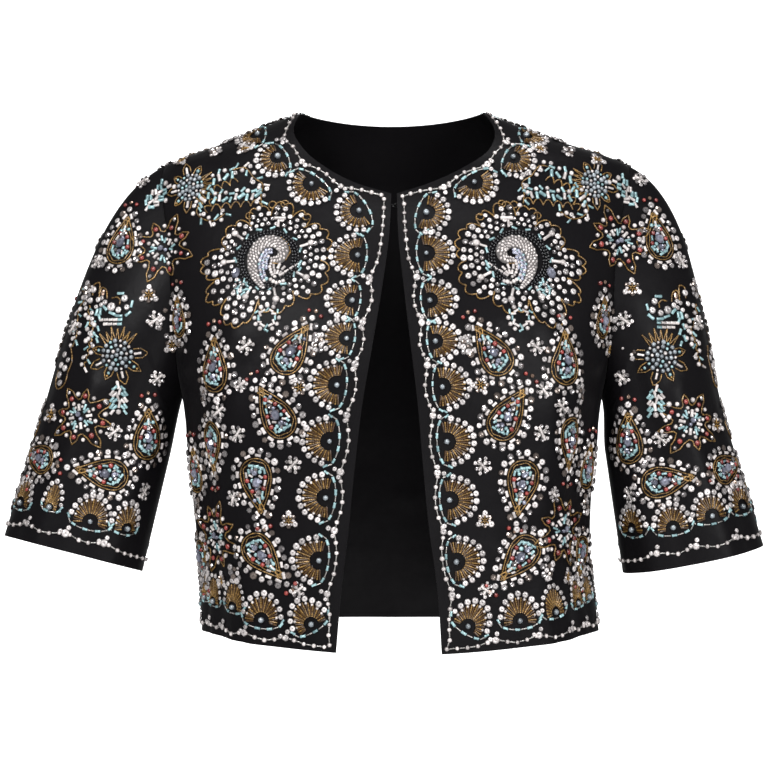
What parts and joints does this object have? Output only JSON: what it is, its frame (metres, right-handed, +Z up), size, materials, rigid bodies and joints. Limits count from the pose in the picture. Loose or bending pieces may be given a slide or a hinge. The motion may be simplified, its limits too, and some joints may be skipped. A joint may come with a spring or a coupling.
{
  "type": "beaded evening jacket",
  "caption": "Cropped, collarless evening jacket with a round neck and set-in elbow sleeves, worn open from a hook at the neck, in its filled-out worn form.",
  "frame": {"origin": "midway between the two neck points, where the shoulder seams meet the neckline and the wearer's shoulders hold the jacket up", "axes": "+Z up; the wearer faces -Y, so +X is the wearer's left"},
  "size_m": [0.6938, 0.2334, 0.4864],
  "materials": {
    "satin": "black satin with beadwork all over",
    "beads": "white seed beads sewn close over padding",
    "black_metal": "black enamelled wire"
  },
  "bodies": {
    "root": {"front_right": "satin", "front_left": "satin", "back": "satin", "sleeve_right": "satin", "sleeve_left": "satin", "medallion_curl_right": "beads", "medallion_curl_left": "beads", "hook": "black_metal", "eye": "black_metal"}
  },
  "joints": []
}
